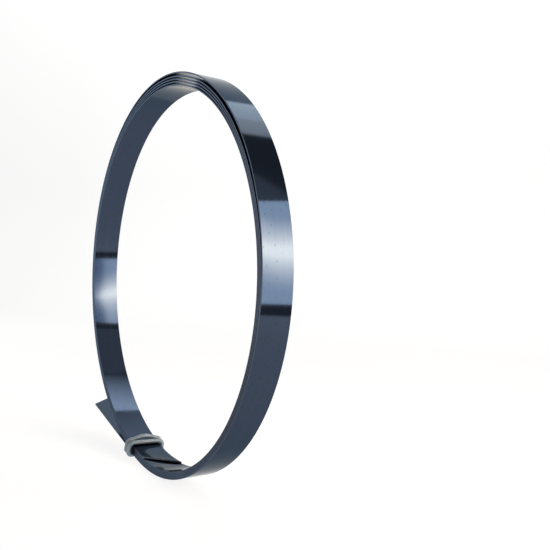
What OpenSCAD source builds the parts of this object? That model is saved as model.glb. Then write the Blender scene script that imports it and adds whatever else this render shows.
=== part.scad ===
// Coil of blue-tempered carbon steel strip, tied with one galvanised wire.
// It stands on its rim. X is to the right, Y runs along the coil's axis and Z is up.
// The origin is the rim's lowest point, halfway across the strip.

/* [Strip] */
// Width of the strip
strip_w = 16; // [8:0.5:30]
// Thickness of the strip
strip_t = 0.7; // [0.4:0.05:1.2]
// Outer diameter of the coil
coil_d = 220; // [160:1:320]
// Full turns in the coil
turns = 5; // [2:1:7]

/* [Winding] */
// Angle of the tie, to the left of the lowest point
tie_angle = 17.5; // [0:0.5:40]
// Gap between turns at the tie
tie_gap = 0.25; // [0.15:0.05:0.4]
// Gap between turns opposite the tie, where they fan out
fan_gap = 0.75; // [0.4:0.05:1.0]
// Further gap there between the outermost turn and the rest, of which a quarter is left at the right
outer_gap = 0.64; // [0:0.04:0.8]
// Gap between turns at the right-hand side
right_gap = 0.25; // [0.25:0.05:0.6]
// Gap between turns at the left-hand side
left_gap = 0.45; // [0.25:0.05:0.6]

/* [Ends] */
// Length of the straight outer end, from the tie to the middle of its cut
tail_len = 68; // [30:1:100]
// Angle by which the outer end springs away from the turn below it
tail_spring = 5; // [0:0.5:8]
// Slant of the cut across the outer end
tail_cut = 33; // [0:1:50]
// Length of the inner end past the tie, to the middle of its cut
inner_len = 30.5; // [24:0.5:45]
// Slant of the cut across the inner end
inner_cut = 48; // [0:1:50]

/* [Tie] */
// Diameter of the tie wire
wire_d = 2.5; // [1:0.1:4]
// Clearance between the wire and the strip
wire_gap = 0.2; // [0.1:0.05:0.5]
// Radius inside the wire's bends
wire_inside = 0.75; // [0.5:0.05:1.2]
// Gap between the two wraps of the wire
wrap_gap = 1.4; // [0.3:0.1:1.8]
// Height by which the second wrap arches off the inside of the coil
wrap_arch = 1.8; // [0:0.1:3]
// Distance of the wire's last run from the outer end
wire_shift = 0.2; // [0.1:0.1:3]

/* [Hidden] */

$fn = 180;
bend_steps = 5;
arch_steps = 6;
wire_sides = 16;

// Lengths along the winding are kept to a hundredth of a millimetre
function on_grid(x) = round(x * 100) / 100;

coil_r = coil_d / 2;
mid_r = on_grid(coil_r - strip_t / 2);
layers_at_tie = turns + 1;
tie_stack = layers_at_tie * strip_t + turns * tie_gap;

// Distance of a layer's middle from the centre, on four sides of the coil
function at_tie(k) = on_grid(mid_r - k * (strip_t + tie_gap));
function at_fan(k) = on_grid(mid_r - k * (strip_t + fan_gap) - (k > 0 ? outer_gap : 0));
function at_right(k) = on_grid(mid_r - k * (strip_t + right_gap) - (k > 0 ? outer_gap / 4 : 0));
function at_left(k) = on_grid(mid_r - (strip_t + tie_gap) / 2 - k * (strip_t + left_gap));

// A piece of strip bent to radius r, from the X axis through the given angle
module bent_strip(r, angle) {
    rotate_extrude(angle = angle)
        translate([r - strip_t / 2, -strip_w / 2])
            square([strip_t, strip_w]);
}

// A straight piece of strip along Y whose middle is at x
module straight_strip(x, length) {
    translate([x - strip_t / 2, 0, -strip_w / 2])
        cube([strip_t, length, strip_w]);
}

// Half a turn that starts at x = p, swings out to y = reach and ends at x = -q.
// Where the reach is more than the arc's own radius, short straights make it up.
module half_turn(p, q, reach) {
    r = (p + q) / 2;
    straight = max(0, reach - r);
    translate([(p - q) / 2, straight])
        bent_strip(r, 180);
    if (straight > 0) {
        straight_strip(p, straight);
        straight_strip(-q, straight);
    }
}

// The straight outer end, which bends away at the tie and is cut across at a slant
module outer_end() {
    slant = strip_w / 2 * tan(tail_cut);
    uncut = (tail_len + slant + strip_w) * [sin(tail_spring), -cos(tail_spring)];
    inside = [mid_r - strip_t / 2, 0];
    outside = [mid_r + strip_t / 2, 0];
    difference() {
        linear_extrude(strip_w, center = true)
            polygon([inside, outside, outside + uncut, inside + uncut]);
        translate([mid_r, 0])
            rotate([0, 0, tail_spring])
                translate([0, -tail_len])
                    rotate([-tail_cut, 0, 0])
                        translate([0, -2 * strip_w])
                            cube([8 * strip_t, 4 * strip_w, 4 * strip_w], center = true);
    }
}

// The inner end, which runs on past the tie along the turn below it and is cut across at a slant
module inner_end() {
    below_r = (at_tie(turns - 1) + at_fan(turns - 1)) / 2;
    straight = max(0, at_right(turns - 1) - below_r);
    end_r = at_tie(turns) - at_tie(turns - 1) + below_r;
    slant = strip_w / 2 * tan(inner_cut);
    reach = inner_len + slant;
    cut_angle = (inner_len - straight) / end_r * 180 / PI;
    if (straight > 0)
        straight_strip(at_tie(turns), straight);
    translate([at_tie(turns) - end_r, straight])
        difference() {
            bent_strip(end_r, reach / end_r * 180 / PI + 2);
            rotate([0, 0, cut_angle])
                translate([end_r, 0])
                    rotate([inner_cut, 0, 0])
                        translate([0, reach, 0])
                            cube([8 * strip_t, 2 * reach, 4 * strip_w], center = true);
        }
}

// The strip: turns that lie close together at the tie and fan out on the other side
module coil_about_tie() {
    outer_end();
    for (k = [0 : turns - 1]) {
        half_turn(at_tie(k), at_fan(k), at_right(k));
        rotate([0, 0, 180])
            half_turn(at_fan(k), at_tie(k + 1), at_left(k));
    }
    inner_end();
}

// Stands a shape that was drawn flat, with the tie along +X, on the coil's rim
module stand_up() {
    translate([0, 0, coil_r])
        rotate([90, 0, 0])
            rotate([0, 0, 270 - tie_angle])
                children();
}

module strip_coil() {
    color("slategray")
        stand_up()
            coil_about_tie();
}

// The wire wraps twice round the bundle of turns: from the outside round the far edge,
// along the inside and round the near edge, while it creeps towards the outer end.
wire_r = wire_d / 2;
wire_bend = wire_r + wire_inside;
wire_pitch = wire_d + wrap_gap;
wire_mid = coil_r - tie_stack / 2;
wire_height = tie_stack / 2 + wire_gap + wire_r;
bend_mid = wire_height - wire_bend;
edge_len = PI * wire_bend + 2 * bend_mid;
half_wrap = strip_w + edge_len;
wire_len = 4 * half_wrap;

// A point on the wire's middle line, by its height above the middle of the bundle,
// its place along the coil's axis and the length of wire up to there
function wire_point(height, along, done) =
    let (
        left = wire_len - done,
        angle = (wire_shift + wire_r + wire_pitch * left / (2 * half_wrap)) / coil_r * 180 / PI
    )
        [(wire_mid - height) * cos(angle), (wire_mid - height) * sin(angle), along];

// The two bends at the near (side 1) or far (side -1) edge, with the straight between them
function edge_points(side, done) = [
    for (half = [0, 1], i = [0 : bend_steps])
        let (a = 90 * (half + i / bend_steps))
            wire_point(
                side * (wire_bend * cos(a) + (1 - 2 * half) * bend_mid),
                side * (strip_w / 2 + wire_bend * sin(a)),
                done + wire_bend * a * PI / 180 + half * 2 * bend_mid
            )
];

// The second run along the inside, which arches off the strip
function arch_points(done) = [
    for (i = [1 : arch_steps - 1])
        let (share = i / arch_steps)
            wire_point(
                wire_height + wrap_arch * sin(180 * share),
                strip_w * (share - 1 / 2),
                done + strip_w * share
            )
];

wire_path = concat(
    [wire_point(-wire_height, 0, 0)],
    edge_points(-1, strip_w / 2),
    edge_points(1, strip_w / 2 + half_wrap),
    edge_points(-1, strip_w / 2 + 2 * half_wrap),
    arch_points(strip_w / 2 + 2 * half_wrap + edge_len),
    edge_points(1, strip_w / 2 + 3 * half_wrap),
    [wire_point(-wire_height, 0, wire_len)]
);

function unit(v) = v / norm(v);

// Direction of a path at point i, halfway between the stretches on its two sides
function heading(path, i) =
    unit(path[min(i + 1, len(path) - 1)] - path[max(i - 1, 0)]);

function ring(centre, ahead) =
    let (e1 = unit(cross(ahead, [0, 1, 0])), e2 = cross(e1, ahead))
        [for (j = [0 : wire_sides - 1])
            let (a = 360 * j / wire_sides)
                centre + wire_r * (cos(a) * e1 + sin(a) * e2)];

// A round wire swept along a path, closed with a flat cut at each end
module wire_along(path) {
    last = len(path) - 1;
    points = [for (i = [0 : last]) each ring(path[i], heading(path, i))];
    n = wire_sides;
    sides = [
        for (i = [0 : last - 1], j = [0 : n - 1])
            let (p = i * n + j, q = i * n + (j + 1) % n)
                each [[p, q, q + n], [p, q + n, p + n]]
    ];
    start_cap = [for (j = [n - 1 : -1 : 0]) j];
    end_cap = [for (j = [0 : n - 1]) last * n + j];
    polyhedron(points, concat([start_cap], sides, [end_cap]));
}

module wire_tie() {
    color("lightgray")
        stand_up()
            wire_along(wire_path);
}

strip_coil();
wire_tie();
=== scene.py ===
import math

import bmesh
import bpy
from mathutils import Matrix, Vector


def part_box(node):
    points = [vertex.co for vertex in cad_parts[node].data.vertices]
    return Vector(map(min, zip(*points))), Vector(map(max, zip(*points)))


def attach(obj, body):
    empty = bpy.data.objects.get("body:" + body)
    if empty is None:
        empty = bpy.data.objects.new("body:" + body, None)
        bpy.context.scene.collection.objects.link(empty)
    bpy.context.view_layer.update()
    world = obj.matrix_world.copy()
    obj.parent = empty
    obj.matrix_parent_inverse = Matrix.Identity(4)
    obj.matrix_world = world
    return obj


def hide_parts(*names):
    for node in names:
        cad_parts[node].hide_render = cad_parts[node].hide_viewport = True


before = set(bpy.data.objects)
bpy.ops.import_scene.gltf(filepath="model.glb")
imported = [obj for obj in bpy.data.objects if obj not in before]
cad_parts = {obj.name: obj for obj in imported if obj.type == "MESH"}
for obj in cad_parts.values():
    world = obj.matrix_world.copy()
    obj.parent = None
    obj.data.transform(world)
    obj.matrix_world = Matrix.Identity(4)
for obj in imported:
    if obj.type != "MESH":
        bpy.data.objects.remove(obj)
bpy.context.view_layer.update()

MM = 0.001

# Sizes that the frame gives
strip_low, strip_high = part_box("strip_coil")
strip_w = strip_high.y - strip_low.y
coil_r = strip_high.x

# The winding, with the same driving sizes as the part's source
strip_t = 0.7 * MM
turns = 5
tie_angle = math.radians(17.5)
tie_gap = 0.25 * MM
fan_gap = 0.75 * MM
outer_gap = 0.64 * MM
right_gap = 0.25 * MM
left_gap = 0.45 * MM
tail_len = 68 * MM
tail_spring = math.radians(5)
tail_cut = math.radians(33)
inner_len = 30.5 * MM
inner_cut = math.radians(48)

# The tie, whose wire starts to bend a little before the strip's edge
wire_r = 1.25 * MM
wire_gap = 0.2 * MM
wire_inside = 1.3 * MM
wire_lead = 0.55 * MM
wrap_gap = 1.4 * MM
wrap_arch = 1.8 * MM
wire_shift = 0.2 * MM

# How finely the pieces are made
edge_round = 0.08 * MM
edge_segments = 3
half_turn_steps = 120
inner_steps = 24
wire_sides = 24
wire_bend_steps = 12
wire_run_steps = 16

# The round winding keeps inside the flat facets of the CAD box
facet_inset = 0.02 * MM
mid_r = coil_r - facet_inset - strip_t / 2
tie_stack = (turns + 1) * strip_t + turns * tie_gap


# Distance of a layer's middle from the centre, on four sides of the coil

def at_tie(k):
    return mid_r - k * (strip_t + tie_gap)


def at_fan(k):
    return mid_r - k * (strip_t + fan_gap) - (outer_gap if k > 0 else 0)


def at_right(k):
    return mid_r - k * (strip_t + right_gap) - (outer_gap / 4 if k > 0 else 0)


def at_left(k):
    return mid_r - (strip_t + tie_gap) / 2 - k * (strip_t + left_gap)


# Stands a shape that was drawn flat, with the tie along +X, on the coil's rim
stand_up = (
    Matrix.Translation((0, 0, coil_r))
    @ Matrix.Rotation(math.radians(90), 4, "X")
    @ Matrix.Rotation(math.radians(270) - tie_angle, 4, "Z")
)


# Sweeping a ring of edges

def edges_of(geometry):
    return [g for g in geometry if isinstance(g, bmesh.types.BMEdge)]


def verts_of(geometry):
    return [g for g in geometry if isinstance(g, bmesh.types.BMVert)]


def run_straight(bm, ring, way):
    """Extrudes a ring of edges along a vector and returns the new ring."""
    made = bmesh.ops.extrude_edge_only(bm, edges=ring)["geom"]
    verts = verts_of(made)
    bmesh.ops.translate(bm, verts=verts, vec=way)
    return [e for e in edges_of(made) if all(v in verts for v in e.verts)]


def run_round(bm, ring, centre, axis, angle, steps, drift=(0, 0, 0)):
    """Spins a ring of edges about an axis, with a drift per step, and returns the last ring."""
    made = bmesh.ops.spin(
        bm, geom=ring, cent=centre, axis=axis, dvec=drift, angle=angle, steps=steps,
    )
    return edges_of(made["geom_last"])


def close_ring(bm, ring):
    bmesh.ops.contextual_create(bm, geom=ring)


def make_object(bm, name, materials):
    """Turns a bmesh into a smooth object in the scene."""
    bmesh.ops.recalc_face_normals(bm, faces=bm.faces)
    for face in bm.faces:
        face.smooth = True
    mesh = bpy.data.meshes.new(name)
    bm.to_mesh(mesh)
    bm.free()
    for material in materials:
        mesh.materials.append(material)
    made = bpy.data.objects.new(name, mesh)
    bpy.context.scene.collection.objects.link(made)
    return made


def finish_piece(bm, name, materials, node):
    """Makes a piece that stands for a CAD node."""
    piece = make_object(bm, name, materials)
    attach(piece, "root")
    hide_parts(node)
    return piece


# Materials

def linear(code):
    """A colour written as sRGB hex, as linear RGBA."""
    parts = [int(code[i:i + 2], 16) / 255 for i in (1, 3, 5)]
    return [c / 12.92 if c <= 0.04045 else ((c + 0.055) / 1.055) ** 2.4 for c in parts] + [1]


def add(tree, kind, settings, links=None):
    """Adds a node, sets its sockets and properties, and links sockets into it."""
    node = tree.nodes.new(kind)
    for key, value in settings.items():
        if isinstance(key, str) and hasattr(node, key):
            setattr(node, key, value)
        else:
            node.inputs[key].default_value = value
    for key, socket in (links or {}).items():
        tree.links.new(socket, node.inputs[key])
    return node


def new_material(name):
    material = bpy.data.materials.new(name)
    material.use_nodes = True
    material.node_tree.nodes.clear()
    return material, material.node_tree


def blued_strip_face():
    """Cold-rolled, polished and blue-tempered steel: a mirror with fine lines along the strip."""
    material, tree = new_material("blue_tempered_strip")
    uv = add(tree, "ShaderNodeUVMap", {"uv_map": "winding"})
    # Rolling lines are a few hundredths of a millimetre wide, drawn wider so that they show
    line_length, line_width = 90 * MM, 0.4 * MM
    line_scale = add(
        tree, "ShaderNodeMapping", {"Scale": (1 / line_length, 1 / line_width, 1)},
        {"Vector": uv.outputs["UV"]},
    )
    lines = add(
        tree, "ShaderNodeTexNoise", {"Scale": 1, "Detail": 4, "Roughness": 0.6},
        {"Vector": line_scale.outputs["Vector"]},
    )
    roughness = add(
        tree, "ShaderNodeMapRange",
        {"From Min": 0.3, "From Max": 0.7, "To Min": 0.06, "To Max": 0.105},
        {"Value": lines.outputs["Fac"]},
    )
    tint = add(
        tree, "ShaderNodeMix",
        {"data_type": "RGBA", 6: linear("#343e4e"), 7: linear("#3e4859")},
        {0: lines.outputs["Fac"]},
    )
    # Scale pits about 0.5 mm long, a few to a square centimetre, in patches
    patch_length, patch_width = 45 * MM, 14 * MM
    pits_apart_along, pits_apart_across = 7 * MM, 4 * MM
    patch_scale = add(
        tree, "ShaderNodeMapping", {"Scale": (1 / patch_length, 1 / patch_width, 1)},
        {"Vector": uv.outputs["UV"]},
    )
    patches = add(
        tree, "ShaderNodeTexNoise", {"Scale": 1, "Detail": 2},
        {"Vector": patch_scale.outputs["Vector"]},
    )
    pit_depth = add(
        tree, "ShaderNodeMapRange",
        {"From Min": 0.38, "From Max": 0.52, "To Min": 0, "To Max": 0.5},
        {"Value": patches.outputs["Fac"]},
    )
    pit_scale = add(
        tree, "ShaderNodeMapping", {"Scale": (1 / pits_apart_along, 1 / pits_apart_across, 1)},
        {"Vector": uv.outputs["UV"]},
    )
    pit_middle = add(
        tree, "ShaderNodeTexVoronoi", {"voronoi_dimensions": "2D", "Scale": 1},
        {"Vector": pit_scale.outputs["Vector"]},
    )
    pits = add(
        tree, "ShaderNodeMapRange",
        {"From Min": 0.04, "From Max": 0.09, "To Max": 0},
        {"Value": pit_middle.outputs["Distance"], "To Min": pit_depth.outputs["Result"]},
    )
    colour = add(
        tree, "ShaderNodeMix", {"data_type": "RGBA", 7: linear("#1c2027")},
        {0: pits.outputs["Result"], 6: tint.outputs[2]},
    )
    shader = add(
        tree, "ShaderNodeBsdfPrincipled",
        {"Metallic": 1, "Specular Tint": linear("#bec2c5")},
        {"Base Color": colour.outputs[2], "Roughness": roughness.outputs["Result"]},
    )
    add(tree, "ShaderNodeOutputMaterial", {}, {"Surface": shader.outputs["BSDF"]})
    return material


def slit_edge():
    """The strip's slit edge: sheared, then tempered, so duller and greyer than its faces.

    The temper film still shows as blue where the edge is seen at a low angle.
    """
    material, tree = new_material("slit_steel_edge")
    uv = add(tree, "ShaderNodeUVMap", {"uv_map": "winding"})
    # Shear marks run across the thickness about 0.3 mm apart, drawn wider so that they show
    marks_apart, marks_long = 0.8 * MM, 4 * MM
    mark_scale = add(
        tree, "ShaderNodeMapping", {"Scale": (1 / marks_apart, 1 / marks_long, 1)},
        {"Vector": uv.outputs["UV"]},
    )
    marks = add(
        tree, "ShaderNodeTexNoise", {"Scale": 1, "Detail": 3},
        {"Vector": mark_scale.outputs["Vector"]},
    )
    tint = add(
        tree, "ShaderNodeMix",
        {"data_type": "RGBA", 6: linear("#3e404a"), 7: linear("#4f535e")},
        {0: marks.outputs["Fac"]},
    )
    shader = add(
        tree, "ShaderNodeBsdfPrincipled",
        {"Metallic": 1, "Roughness": 0.38, "Specular Tint": linear("#c4d9ee")},
        {"Base Color": tint.outputs[2]},
    )
    add(tree, "ShaderNodeOutputMaterial", {}, {"Surface": shader.outputs["BSDF"]})
    return material


def sheared_end():
    """The strip's two ends, cut to length after tempering, so bare and lighter than the rest."""
    material, tree = new_material("sheared_steel_end")
    uv = add(tree, "ShaderNodeUVMap", {"uv_map": "winding"})
    # The break's grain is a few hundredths of a millimetre, drawn coarser so that it shows
    grain_size = 0.3 * MM
    grain_scale = add(
        tree, "ShaderNodeMapping", {"Scale": (1 / grain_size, 1 / grain_size, 1)},
        {"Vector": uv.outputs["UV"]},
    )
    grain = add(
        tree, "ShaderNodeTexNoise", {"Scale": 1, "Detail": 2},
        {"Vector": grain_scale.outputs["Vector"]},
    )
    tint = add(
        tree, "ShaderNodeMix",
        {"data_type": "RGBA", 6: linear("#80868e"), 7: linear("#a2a8b0")},
        {0: grain.outputs["Fac"]},
    )
    shader = add(
        tree, "ShaderNodeBsdfPrincipled", {"Metallic": 1, "Roughness": 0.5},
        {"Base Color": tint.outputs[2]},
    )
    add(tree, "ShaderNodeOutputMaterial", {}, {"Surface": shader.outputs["BSDF"]})
    return material


def galvanised_wire():
    """Soft steel wire with a dull zinc coat, greyer where the zinc has oxidised."""
    material, tree = new_material("galvanised_wire")
    place = add(tree, "ShaderNodeTexCoord", {})
    # Blotches in the zinc
    blotch_size = 1.5 * MM
    blotches = add(
        tree, "ShaderNodeTexNoise", {"Scale": 1 / blotch_size, "Detail": 3},
        {"Vector": place.outputs["Object"]},
    )
    tint = add(
        tree, "ShaderNodeMix",
        {"data_type": "RGBA", 6: linear("#7f8b94"), 7: linear("#abb7c0")},
        {0: blotches.outputs["Fac"]},
    )
    shader = add(
        tree, "ShaderNodeBsdfPrincipled", {"Metallic": 1, "Roughness": 0.68},
        {"Base Color": tint.outputs[2]},
    )
    add(tree, "ShaderNodeOutputMaterial", {}, {"Surface": shader.outputs["BSDF"]})
    return material


def white_paper():
    """Matt white paper. A glow of its own makes up what the lamps leave short of white."""
    seen_glow = 0.85
    material, tree = new_material("white_paper")
    rays = add(tree, "ShaderNodeLightPath", {})
    seen = add(
        tree, "ShaderNodeMath", {"operation": "ADD"},
        {0: rays.outputs["Is Camera Ray"], 1: rays.outputs["Is Glossy Ray"]},
    )
    shown = add(
        tree, "ShaderNodeMath", {"operation": "ADD", "use_clamp": True},
        {0: seen.outputs["Value"], 1: rays.outputs["Is Transmission Ray"]},
    )
    lift = add(
        tree, "ShaderNodeMath", {"operation": "MULTIPLY", 1: seen_glow},
        {0: shown.outputs["Value"]},
    )
    glow = add(tree, "ShaderNodeEmission", {}, {"Strength": lift.outputs["Value"]})
    paper = add(tree, "ShaderNodeBsdfDiffuse", {"Color": linear("#868686")})
    both = add(
        tree, "ShaderNodeAddShader", {}, {0: paper.outputs["BSDF"], 1: glow.outputs["Emission"]},
    )
    add(tree, "ShaderNodeOutputMaterial", {}, {"Surface": both.outputs["Shader"]})
    return material


# The strip

FACE, EDGE, END = 0, 1, 2

# The turns don't lie as evenly as the solid's, by up to a millimetre.
# On the right the outermost turn stands out on the near side.
# Above that the turns between it and the innermost lie close together, as all do on the left.
# Each of these comes in and goes out between angles in degrees, counted round from the tie.
stand_out = 0.55 * MM
stand_out_span = (0, 60, 120, 165)
bunch_right = 0.95 * MM
bunch_right_span = (90, 135, 138, 178)
bunch_left = 0.15 * MM
bunch_left_span = (200, 230, 320, 350)

# The inner end lies down on the turn below it, past the wire
lie_down = 0.2 * MM
lie_down_from = 8 * MM
lie_down_to = 16 * MM


def ease(start, end, value):
    """Rises smoothly from 0 at the start to 1 at the end."""
    share = min(max((value - start) / (end - start), 0), 1)
    return share * share * (3 - 2 * share)


def come_and_go(span, value):
    """Rises between the first two values of a span and falls between the last two."""
    return ease(span[0], span[1], value) * ease(span[3], span[2], value)


def strip_section(bm):
    """The strip's section at the tie line, as a ring of edges with dressed corners."""
    made = bmesh.ops.create_grid(bm, x_segments=1, y_segments=1, size=0.5)
    bmesh.ops.scale(bm, verts=made["verts"], vec=(strip_t, strip_w, 1))
    bmesh.ops.rotate(
        bm, verts=made["verts"], cent=(0, 0, 0), matrix=Matrix.Rotation(math.radians(90), 3, "X"),
    )
    bmesh.ops.translate(bm, verts=made["verts"], vec=(mid_r, 0, 0))
    bmesh.ops.bevel(
        bm, geom=bm.verts[:], offset=edge_round, segments=edge_segments, profile=0.5,
        affect="VERTICES", material=-1,
    )
    ring = bm.edges[:]
    bmesh.ops.delete(bm, geom=bm.faces[:], context="FACES_ONLY")
    return ring


def lay_unevenly(vert, k):
    """Moves a vertex of turn k to where the real turn lies."""
    angle = math.degrees(math.atan2(vert.co.y, vert.co.x)) % 360
    out = vert.co.to_2d().normalized().to_3d()
    if k == 0:
        vert.co.z += stand_out * come_and_go(stand_out_span, angle)
    else:
        right = come_and_go(bunch_right_span, angle)
        left = come_and_go(bunch_left_span, angle)
        vert.co -= bunch_right * right * (turns - 1 - k) / (turns - 2) * out
        vert.co += bunch_left * left * (k - 1) * out


def mark_length(bm, layer, first, length_at):
    """Notes on each new vertex how far along the strip it is."""
    bm.verts.ensure_lookup_table()
    for i in range(first, len(bm.verts)):
        vert = bm.verts[i]
        vert[layer] = length_at(vert.co)


def strip_coil(materials):
    """The whole strip, wound from the tie inwards, with its two cut ends."""
    bm = bmesh.new()
    length = bm.verts.layers.float.new("length")
    turn = bm.verts.layers.int.new("turn")
    start = strip_section(bm)
    ring = start
    done = 0

    def angle_from(co, centre, first_angle):
        swept = math.atan2(co.y - centre.y, co.x - centre.x) - first_angle
        return swept % (2 * math.pi)

    def straight(way):
        nonlocal ring, done
        first = len(bm.verts)
        ring = run_straight(bm, ring, way)
        done += way.length
        mark_length(bm, length, first, lambda co: done)

    def arc(centre, radius, first_angle, angle, steps):
        nonlocal ring, done
        first = len(bm.verts)
        ring = run_round(bm, ring, centre, (0, 0, 1), angle, steps)
        before = done
        mark_length(
            bm, length, first,
            lambda co: before + radius * angle_from(co, centre, first_angle),
        )
        done += radius * angle

    def half_turn(p, q, reach, side):
        radius = (p + q) / 2
        rise = max(0, reach - radius)
        if rise > 0:
            straight(Vector((0, side * rise, 0)))
        centre = Vector((side * (p - q) / 2, side * rise, 0))
        arc(centre, radius, 0 if side > 0 else math.pi, math.pi, half_turn_steps)
        if rise > 0:
            straight(Vector((0, -side * rise, 0)))

    for k in range(turns):
        first = len(bm.verts)
        half_turn(at_tie(k), at_fan(k), at_right(k), 1)
        half_turn(at_fan(k), at_tie(k + 1), at_left(k), -1)
        bm.verts.ensure_lookup_table()
        for vert in bm.verts[first:]:
            vert[turn] = k

    # The inner end runs on and is cut at a slant, longer at the far edge
    below_r = (at_tie(turns - 1) + at_fan(turns - 1)) / 2
    rise = at_right(turns - 1) - below_r
    straight(Vector((0, rise, 0)))
    end_r = below_r - strip_t - tie_gap
    centre = Vector((at_tie(turns) - end_r, rise, 0))
    first = len(bm.verts)
    tied = done
    bent = inner_len - rise
    arc(centre, end_r, 0, bent / end_r, inner_steps)
    bm.verts.ensure_lookup_table()
    for i in range(first, len(bm.verts)):
        vert = bm.verts[i]
        share = (vert[length] - tied) / bent
        extra = -share * vert.co.z * math.tan(inner_cut)
        bmesh.ops.rotate(
            bm, verts=[vert], cent=centre, matrix=Matrix.Rotation(extra / end_r, 3, "Z"),
        )
        vert[length] += extra
        down = lie_down * ease(lie_down_from, lie_down_to, vert[length] - tied)
        vert.co += down * (vert.co - centre).to_2d().normalized().to_3d()
    close_ring(bm, ring)

    # The outer end leaves the tie straight, bends away and is cut at a slant
    ahead = Vector((math.sin(tail_spring), -math.cos(tail_spring), 0))
    ring = run_straight(bm, start, tail_len * ahead)
    for vert in {v for e in ring for v in e.verts}:
        slant = vert.co.z * math.tan(tail_cut)
        vert.co -= slant * ahead
        vert[length] = slant - tail_len
    close_ring(bm, ring)

    # The three finishes and a map of the winding: length along, place across
    winding = bm.loops.layers.uv.new("winding")
    for face in bm.faces:
        across = face.calc_center_median().z
        cut_end = len(face.verts) > 4
        slit = abs(across) > strip_w / 2 - edge_round
        face.material_index = END if cut_end else EDGE if slit else FACE
        for loop in face.loops:
            loop[winding].uv = (loop.vert[length], loop.vert.co.z)
    for vert in bm.verts:
        if 0 < vert[length] <= tied:
            lay_unevenly(vert, vert[turn])
    bmesh.ops.transform(bm, matrix=stand_up, verts=bm.verts)
    piece = finish_piece(bm, "tied_strip", materials, "strip_coil")
    # The wide faces keep their own normals, so that they don't look crowned
    piece.modifiers.new("flat faces", "WEIGHTED_NORMAL").weight = 100


# The tie wire, made flat with X up from the middle of the stack, Y along the strip, Z across

def tie_wire(material):
    """Two wraps round the stack of turns, from the outside to the outside."""
    bend_r = wire_r + wire_inside
    height = tie_stack / 2 + wire_gap + wire_r
    bend_mid = height - bend_r
    run_w = strip_w - 2 * wire_lead
    wrap_len = 2 * (run_w + math.pi * bend_r + 2 * bend_mid)
    creep = -(2 * wire_r + wrap_gap) / wrap_len
    bundle_mid = coil_r - tie_stack / 2

    bm = bmesh.new()
    made = bmesh.ops.create_circle(bm, segments=wire_sides, radius=wire_r)
    start = Vector((-height, -2 * creep * wrap_len, 0))
    bmesh.ops.translate(bm, verts=made["verts"], vec=start)
    first_ring = bm.edges[:]

    def run(ring, way, steps=1):
        step = (way + Vector((0, creep * way.length, 0))) / steps
        for _ in range(steps):
            ring = run_straight(bm, ring, step)
        return ring

    def bend(ring, side, level):
        centre = Vector((level, 0, side * run_w / 2))
        drift = Vector((0, creep * math.pi / 2 * bend_r / wire_bend_steps, 0))
        return run_round(
            bm, ring, centre, (0, -1, 0), math.pi / 2, wire_bend_steps, drift,
        )

    def round_edge(ring, side):
        ring = bend(ring, side, side * bend_mid)
        ring = run(ring, Vector((-2 * side * bend_mid, 0, 0)))
        return bend(ring, side, -side * bend_mid)

    # The first wrap
    across = Vector((0, 0, run_w))
    ring = run(first_ring, -across / 2)
    ring = round_edge(ring, -1)
    ring = run(ring, across)
    ring = round_edge(ring, 1)
    ring = run(ring, -across)
    ring = round_edge(ring, -1)

    # The second, whose run along the inside arches off the strip
    before_arch = len(bm.verts)
    ring = run(ring, across, wire_run_steps)
    bm.verts.ensure_lookup_table()
    for vert in bm.verts[before_arch:]:
        share = vert.co.z / run_w + 0.5
        vert.co.x += wrap_arch * math.sin(math.pi * min(max(share, 0), 1))
    ring = round_edge(ring, 1)
    ring = run(ring, -across / 2)
    close_ring(bm, first_ring)
    close_ring(bm, ring)

    # Lays the wire on the coil's curve
    for vert in bm.verts:
        angle = (wire_shift + wire_r + vert.co.y) / coil_r
        out = bundle_mid - vert.co.x
        vert.co.x, vert.co.y = out * math.cos(angle), out * math.sin(angle)
    bmesh.ops.transform(bm, matrix=stand_up, verts=bm.verts)
    finish_piece(bm, "binding_wire", [material], "wire_tie")


# The studio, in metres. A radiance of 1 shows as white.

coil_middle = Vector((0, 0, coil_r))

# The sheet runs along the right-hand side of the view and ends short of the main softbox
paper_way = math.radians(123)
paper_ahead = 0.7
paper_behind = 0.9
paper_right = 0.42
paper_left = 1.7
paper_sweep_r = 0.3
paper_sweep_steps = 24
paper_height = 1.9

# The camera was fitted to the coil's outline in the photograph
camera_place = Vector((336.5, -154.6, 117.7)) * MM
camera_target = Vector((4.5, 68.6, 111.7)) * MM
camera_roll = math.radians(2.1)
camera_lens = 42.5
camera_clip = 0.01


def paper_sweep(material):
    """Floor and backdrop in one sheet, swept up behind the coil."""
    bm = bmesh.new()
    ends = [bm.verts.new((-paper_behind, y, 0)) for y in (-paper_right, paper_left)]
    edge = [bm.edges.new(ends)]
    edge = run_straight(bm, edge, Vector((paper_behind + paper_ahead, 0, 0)))
    edge = run_round(
        bm, edge, (paper_ahead, 0, paper_sweep_r), (0, -1, 0), math.pi / 2, paper_sweep_steps,
    )
    run_straight(bm, edge, Vector((0, 0, paper_height)))
    bmesh.ops.rotate(
        bm, verts=bm.verts, cent=(0, 0, 0), matrix=Matrix.Rotation(paper_way, 3, "Z"),
    )
    make_object(bm, "paper_sweep", [material])


def softbox(name, place, facing, width, height, radiance=1, colour="#ffffff"):
    """An area lamp that shines evenly at the given brightness, whatever its size."""
    lamp = bpy.data.lights.new(name, "AREA")
    lamp.shape = "RECTANGLE"
    lamp.size = width
    lamp.size_y = height
    lamp.color = linear(colour)[:3]
    lamp.energy = math.pi * radiance * width * height
    light = bpy.data.objects.new(name, lamp)
    light.location = place
    light.rotation_euler = (facing - place).to_track_quat("-Z", "Y").to_euler()
    bpy.context.scene.collection.objects.link(light)
    return lamp


def way(azimuth, elevation=0):
    """A direction from the coil, by its angle from +X towards +Y and its angle upwards."""
    level = math.cos(elevation)
    return Vector((level * math.cos(azimuth), level * math.sin(azimuth), math.sin(elevation)))


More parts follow.
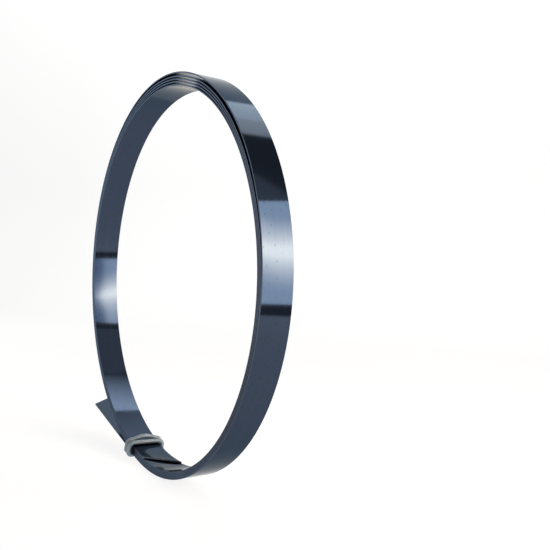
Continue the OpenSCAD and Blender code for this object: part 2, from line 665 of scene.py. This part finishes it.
def bright(colour, radiance=1):
    """Light of a colour, as bright as a lamp of that radiance."""
    return [radiance * part for part in linear(colour)[:3]]


def shaded_softbox(name, place, facing, low, high):
    """A softbox for nodes to shade. Returns its tree and a spot's two places between low and high."""
    width, height = high[0] - low[0], high[1] - low[1]
    lamp = softbox(name, place, facing, width, height)
    lamp.use_nodes = True
    tree = lamp.node_tree
    tree.nodes.clear()
    spot = add(tree, "ShaderNodeNewGeometry", {})
    metres = add(
        tree, "ShaderNodeMapping", {"Location": (*low, 0), "Scale": (width, height, 1)},
        {"Vector": spot.outputs["Parametric"]},
    )
    parts = add(tree, "ShaderNodeSeparateXYZ", {}, {0: metres.outputs["Vector"]})
    return tree, parts.outputs["X"], parts.outputs["Y"]


def main_softbox():
    """A tall softbox to the right: a white cloth with warm bulbs behind it, and a dim lip beside it."""
    azimuth = math.radians(31)
    distance = 0.48
    # Its sides to the left of the coil's middle, and its ends above the floor
    lip, left = -0.13, 0.2
    bottom, top = 0.026, 0.43
    across = way(azimuth + math.radians(90))
    middle = (lip + left) / 2 * across + Vector((0, 0, (bottom + top) / 2))
    tree, aside, above = shaded_softbox(
        "main_softbox", middle + distance * way(azimuth), middle, (lip, bottom), (left, top),
    )

    # The glow fades away from the bulbs, which hang higher on the right
    fade_power = 1.7
    bulb = add(
        tree, "ShaderNodeMapRange",
        {"From Min": -0.056, "From Max": -0.036, "To Min": 0.24, "To Max": 0.212},
        {"Value": aside},
    )
    over_bulb = add(
        tree, "ShaderNodeMath", {"operation": "SUBTRACT"}, {0: above, 1: bulb.outputs["Result"]},
    )
    off_bulb = add(
        tree, "ShaderNodeMath", {"operation": "ABSOLUTE"}, {0: over_bulb.outputs["Value"]},
    )
    near_bulb = add(
        tree, "ShaderNodeMapRange", {"From Min": 0.15, "From Max": 0.015},
        {"Value": off_bulb.outputs["Value"]},
    )
    glow = add(
        tree, "ShaderNodeMath", {"operation": "POWER", 1: fade_power},
        {0: near_bulb.outputs["Result"]},
    )
    # On the right it also reaches further up
    on_right = add(
        tree, "ShaderNodeMapRange",
        {"From Min": -0.03, "From Max": -0.01, "To Min": 1, "To Max": 0},
        {"Value": aside},
    )
    further_up = add(
        tree, "ShaderNodeMapRange", {"From Min": 0.27, "From Max": 0.33, "To Max": 0.21},
        {"Value": above},
    )
    whole_glow = add(
        tree, "ShaderNodeMath", {"operation": "MULTIPLY_ADD"},
        {
            0: on_right.outputs["Result"], 1: further_up.outputs["Result"],
            2: glow.outputs["Value"],
        },
    )

    # The cloth's upper right-hand corner is cut off, and the lip lies beyond its edge
    edge = add(
        tree, "ShaderNodeMapRange",
        {"From Min": 0.25, "From Max": top, "To Min": -0.067, "To Max": -0.028},
        {"Value": above},
    )
    past_edge = add(
        tree, "ShaderNodeMath", {"operation": "SUBTRACT"}, {0: aside, 1: edge.outputs["Result"]},
    )
    on_cloth = add(
        tree, "ShaderNodeMapRange", {"From Min": -0.003, "From Max": 0.003},
        {"Value": past_edge.outputs["Value"]},
    )
    cloth_light = add(
        tree, "ShaderNodeVectorMath",
        {"operation": "MULTIPLY_ADD", 1: bright("#ffdbaa", 13.2), 2: bright("#fafffb", 4.2)},
        {0: whole_glow.outputs["Value"]},
    )
    lip_light = add(
        tree, "ShaderNodeVectorMath",
        {"operation": "MULTIPLY_ADD", 1: bright("#fbfdff", 1.32), 2: bright("#cfe5ff", 1.5)},
        {0: glow.outputs["Value"]},
    )
    both = add(
        tree, "ShaderNodeMix", {"data_type": "VECTOR"},
        {
            0: on_cloth.outputs["Result"], 4: lip_light.outputs["Vector"],
            5: cloth_light.outputs["Vector"],
        },
    )
    shine = add(tree, "ShaderNodeEmission", {}, {"Color": both.outputs[1]})
    add(tree, "ShaderNodeOutputLight", {}, {"Surface": shine.outputs["Emission"]})


def overhead_softbox():
    """A softbox overhead, behind the coil, which fades to the right and has a whiter near half."""
    place = coil_middle + Vector((-0.1, 0.48, 1.0))
    # Its sides to the left of that place, and its ends nearer to the camera
    right, left = -0.36, 0.215
    far, near = -0.21, 0.21
    turned = (coil_middle - place).to_track_quat("-Z", "Y")
    shift = turned @ Vector(((left + right) / 2, 0, 0))
    tree, leftward, nearer = shaded_softbox(
        "softbox_overhead", place + shift, coil_middle + shift, (right, far), (left, near),
    )

    # The far half, which shows in the outside of the coil, has a clear end on the right
    far_level = add(
        tree, "ShaderNodeMapRange",
        {"From Min": -0.255, "From Max": 0.2, "To Min": 3.06, "To Max": 5.56},
        {"Value": leftward},
    )
    far_end = add(
        tree, "ShaderNodeMapRange", {"From Min": -0.275, "From Max": -0.24}, {"Value": leftward},
    )
    far_half = add(
        tree, "ShaderNodeMath", {"operation": "MULTIPLY"},
        {0: far_level.outputs["Result"], 1: far_end.outputs["Result"]},
    )
    far_light = add(
        tree, "ShaderNodeVectorMath", {"operation": "MULTIPLY", 1: bright("#fff0da")},
        {0: far_half.outputs["Value"]},
    )

    # The near half, which shows in the inside, fades out slantwise
    fade_slant = 0.9
    slant = add(
        tree, "ShaderNodeMath", {"operation": "MULTIPLY_ADD", 1: fade_slant},
        {0: nearer, 2: leftward},
    )
    near_half = add(
        tree, "ShaderNodeMapRange", {"From Min": -0.2625, "From Max": 0.16, "To Max": 4.05},
        {"Value": slant.outputs["Value"]},
    )
    near_light = add(
        tree, "ShaderNodeVectorMath", {"operation": "MULTIPLY", 1: bright("#fcfdf8")},
        {0: near_half.outputs["Result"]},
    )

    # The halves meet along a line that runs a little askew, and both end softly on the left
    meeting_slant = 0.15
    past_meeting = add(
        tree, "ShaderNodeMath", {"operation": "MULTIPLY_ADD", 1: meeting_slant},
        {0: leftward, 2: nearer},
    )
    share = add(
        tree, "ShaderNodeMapRange", {"From Min": -0.02, "From Max": 0.01},
        {"Value": past_meeting.outputs["Value"]},
    )
    both = add(
        tree, "ShaderNodeMix", {"data_type": "VECTOR"},
        {
            0: share.outputs["Result"], 4: far_light.outputs["Vector"],
            5: near_light.outputs["Vector"],
        },
    )
    left_end = add(
        tree, "ShaderNodeMapRange", {"From Min": left, "From Max": 0.185}, {"Value": leftward},
    )
    ended = add(
        tree, "ShaderNodeVectorMath", {"operation": "MULTIPLY"},
        {0: both.outputs[1], 1: left_end.outputs["Result"]},
    )
    shine = add(tree, "ShaderNodeEmission", {}, {"Color": ended.outputs["Vector"]})
    add(tree, "ShaderNodeOutputLight", {}, {"Surface": shine.outputs["Emission"]})


def studio():
    """The lamps, and a dim room round them."""
    main_softbox()
    overhead_softbox()

    # A wide fill to the left of the camera, for the strip's edges
    fill_middle = Vector((0, 0, 0.45))
    fill = fill_middle + 0.9 * way(math.radians(214))
    softbox("softbox_fill", fill, fill_middle, width=0.9, height=0.9, radiance=1.6)

    # A dim panel above the main softbox
    bounce = coil_middle + 2 * way(math.radians(30), math.radians(51))
    softbox("bounce_panel", bounce, coil_middle, width=0.8, height=1.05, radiance=0.38)

    # A dim panel low behind the coil, which shows in the outer end and the lowest turns
    low_way = way(math.radians(141))
    low = Vector((-0.05, 0, 0.136)) + 0.25 * low_way
    softbox(
        "low_panel", low, low - low_way, width=0.22, height=0.16, radiance=0.62, colour="#ffe6c8",
    )

    # A lamp that lights the backdrop
    backdrop_way = way(paper_way)
    backdrop = Vector((-0.25, 0, 1.3)) + 0.3 * backdrop_way
    softbox("backdrop_lamp", backdrop, backdrop + backdrop_way, width=1.6, height=0.3, radiance=10)

    room_light = 0.2
    world = bpy.data.worlds.new("studio")
    bpy.context.scene.world = world
    world.use_nodes = True
    background = world.node_tree.nodes["Background"]
    background.inputs["Color"].default_value = (room_light, room_light, room_light, 1)


def camera():
    data = bpy.data.cameras.new("camera")
    data.lens = camera_lens
    data.clip_start = camera_clip
    view = bpy.data.objects.new("camera", data)
    roll = Matrix.Rotation(camera_roll, 4, "Z")
    turned = (camera_target - camera_place).to_track_quat("-Z", "Y").to_matrix().to_4x4()
    view.matrix_world = Matrix.Translation(camera_place) @ turned @ roll
    bpy.context.scene.collection.objects.link(view)
    bpy.context.scene.camera = view


strip_coil([blued_strip_face(), slit_edge(), sheared_end()])
tie_wire(galvanised_wire())
paper_sweep(white_paper())
studio()
camera()
bpy.context.scene.view_settings.view_transform = "Standard"

bpy.context.view_layer.update()
